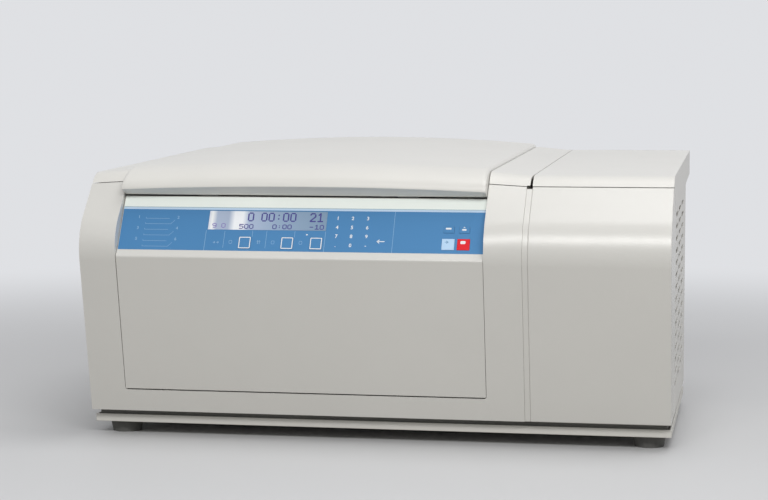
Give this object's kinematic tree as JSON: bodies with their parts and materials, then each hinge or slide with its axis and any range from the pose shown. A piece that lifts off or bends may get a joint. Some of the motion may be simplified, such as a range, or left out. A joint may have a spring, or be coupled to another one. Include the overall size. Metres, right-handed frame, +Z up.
{
  "type": "refrigerated benchtop centrifuge",
  "caption": "Benchtop centrifuge with a hinged lid, a swing-out rotor in a cooled chamber, a sloped control panel and a cooling module beside it",
  "frame": {"origin": "middle of the footprint, on the surface that the feet stand on", "axes": "+X to the right seen from the front, +Y to the rear, +Z up"},
  "size_m": [0.746, 0.605, 0.3772],
  "materials": {
    "frame_enamel": "fine textured off-white enamel",
    "front_moulding": "off-white moulded plastic, satin",
    "cover_moulding": "off-white moulded plastic, satin",
    "liner_plastic": "light grey moulded plastic",
    "blue_foil": "printed blue polyester foil, satin",
    "display_glass": "grey-blue display window",
    "pale_key": "printed foil key, blue with a white frame",
    "blue_key": "printed foil key, blue",
    "start_key": "printed foil key, pale blue",
    "stop_key": "printed foil key, red",
    "dark_plastic": "black moulded plastic",
    "board": "green circuit board",
    "black_rubber": "black rubber",
    "foam": "rigid insulating foam",
    "stainless": "spun stainless steel",
    "plated_steel": "zinc-plated steel",
    "aluminium": "machined or drawn aluminium",
    "cast_body": "dark painted motor body",
    "black_enamel": "black enamel",
    "copper": "copper tube"
  },
  "bodies": {
    "housing": {"base_pan": "frame_enamel", "feet": "black_rubber", "front_frame": "front_moulding", "joint_strip": "front_moulding", "fascia": "front_moulding", "keypad_overlay": "blue_foil", "display_window": "display_glass", "display_module": "dark_plastic", "control_board": "board", "top_cover": "cover_moulding", "left_side_panel": "frame_enamel", "right_side_panel": "frame_enamel", "rear_panel": "frame_enamel", "mains_inlet": "dark_plastic", "module_front_panel": "front_moulding", "module_cover": "cover_moulding", "module_rear_panel": "frame_enamel", "cover_screws": "plated_steel", "chamber_bowl": "stainless", "evaporator": "aluminium", "insulation": "foam", "chamber_gasket": "black_rubber", "spindle_boot": "black_rubber", "motor": "cast_body", "motor_plate": "plated_steel", "motor_mounts": "black_rubber", "hinge_brackets": "plated_steel", "hinge_pins": "plated_steel", "latch_brackets": "plated_steel", "latch_actuator": "dark_plastic", "compressor": "black_enamel", "condenser": "aluminium", "fan_shroud": "black_enamel", "fan_motor": "cast_body", "power_module": "aluminium", "filter_drier": "copper", "refrigerant_lines": "copper"},
    "lid": {"lid_shell": "cover_moulding", "lid_liner": "liner_plastic", "lid_strikers": "plated_steel", "hinge_arms": "plated_steel"},
    "latch": {"latch_shaft": "plated_steel", "latch_hooks": "plated_steel"},
    "rotor": {"spindle": "plated_steel", "rotor_yoke": "aluminium", "rotor_nut": "plated_steel"},
    "bucket_a": {"bucket_1": "aluminium"},
    "bucket_b": {"bucket_2": "aluminium"},
    "bucket_c": {"bucket_3": "aluminium"},
    "bucket_d": {"bucket_4": "aluminium"},
    "fan": {"fan_rotor": "dark_plastic"},
    "rocker": {"mains_rocker": "dark_plastic"},
    "set_key_1": {"set_key_1": "pale_key"},
    "set_key_2": {"set_key_2": "pale_key"},
    "set_key_3": {"set_key_3": "pale_key"},
    "pulse_key": {"pulse_key": "blue_key"},
    "open_key": {"open_key": "blue_key"},
    "start_key": {"start_key": "start_key"},
    "stop_key": {"stop_key": "stop_key"}
  },
  "joints": [
    {"name": "lid_hinge", "type": "hinge", "parent": "housing", "child": "lid", "pos_m": [-0.09075, 0.2895, 0.327], "axis": [-1, 0, 0], "range_deg": [0, 80]},
    {"name": "latch_turn", "type": "hinge", "parent": "housing", "child": "latch", "pos_m": [-0.09075, -0.2185, 0.258], "axis": [1, 0, 0], "range_deg": [0, 30]},
    {"name": "rotor_spin", "type": "hinge", "parent": "housing", "child": "rotor", "pos_m": [-0.09075, 0.0155, 0.21], "axis": [0, 0, 1], "continuous": true},
    {"name": "bucket_a_swing", "type": "hinge", "parent": "rotor", "child": "bucket_a", "pos_m": [0.00625, 0.0155, 0.21], "axis": [0, -1, 0], "range_deg": [0, 90]},
    {"name": "bucket_b_swing", "type": "hinge", "parent": "rotor", "child": "bucket_b", "pos_m": [-0.09075, 0.1125, 0.21], "axis": [1, 0, 0], "range_deg": [0, 90]},
    {"name": "bucket_c_swing", "type": "hinge", "parent": "rotor", "child": "bucket_c", "pos_m": [-0.18775, 0.0155, 0.21], "axis": [0, 1, 0], "range_deg": [0, 90]},
    {"name": "bucket_d_swing", "type": "hinge", "parent": "rotor", "child": "bucket_d", "pos_m": [-0.09075, -0.0815, 0.21], "axis": [-1, 0, 0], "range_deg": [0, 90]},
    {"name": "fan_spin", "type": "hinge", "parent": "housing", "child": "fan", "pos_m": [0.28, -0.0855, 0.175], "axis": [1, 0, 0], "continuous": true},
    {"name": "set_key_1_press", "type": "slide", "parent": "housing", "child": "set_key_1", "axis": [0, 0.8688, -0.4952], "range_m": [0, 0.0005], "stiffness_N_per_m": 400},
    {"name": "set_key_2_press", "type": "slide", "parent": "housing", "child": "set_key_2", "axis": [0, 0.8688, -0.4952], "range_m": [0, 0.0005], "stiffness_N_per_m": 400},
    {"name": "set_key_3_press", "type": "slide", "parent": "housing", "child": "set_key_3", "axis": [0, 0.8688, -0.4952], "range_m": [0, 0.0005], "stiffness_N_per_m": 400},
    {"name": "pulse_key_press", "type": "slide", "parent": "housing", "child": "pulse_key", "axis": [0, 0.8688, -0.4952], "range_m": [0, 0.0005], "stiffness_N_per_m": 400},
    {"name": "open_key_press", "type": "slide", "parent": "housing", "child": "open_key", "axis": [0, 0.8688, -0.4952], "range_m": [0, 0.0005], "stiffness_N_per_m": 400},
    {"name": "start_key_press", "type": "slide", "parent": "housing", "child": "start_key", "axis": [0, 0.8688, -0.4952], "range_m": [0, 0.0005], "stiffness_N_per_m": 400},
    {"name": "stop_key_press", "type": "slide", "parent": "housing", "child": "stop_key", "axis": [0, 0.8688, -0.4952], "range_m": [0, 0.0005], "stiffness_N_per_m": 400},
    {"name": "rocker_tip", "type": "hinge", "parent": "housing", "child": "rocker", "pos_m": [-0.281, 0.2949, 0.107], "axis": [1, 0, 0], "range_deg": [0, 16]}
  ]
}
